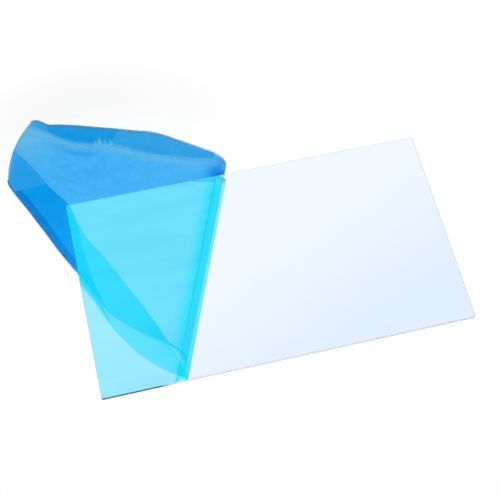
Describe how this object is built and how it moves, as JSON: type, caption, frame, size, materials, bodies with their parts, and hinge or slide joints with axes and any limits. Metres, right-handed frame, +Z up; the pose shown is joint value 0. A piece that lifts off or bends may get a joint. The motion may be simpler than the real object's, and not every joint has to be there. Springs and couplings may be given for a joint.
{
  "type": "front surface mirror",
  "caption": "Flat rectangular first-surface mirror plate lying face up, its clear blue protective film bonded at one end, peeled from the other and folded back.",
  "frame": {"origin": "centre of the plate's resting face", "axes": "+X along the plate's long side towards its bare end, +Y along its short side towards the edge the film hangs over, +Z up out of the coated face"},
  "size_m": [0.3425, 0.252, 0.0376],
  "materials": {
    "mirror_plate": "first-surface coat on clear float glass, seamed edges",
    "protective_film": "clear blue film, faintly hazy and creased"
  },
  "bodies": {
    "root": {"mirror_plate": "mirror_plate", "protective_film": "protective_film"}
  },
  "joints": []
}
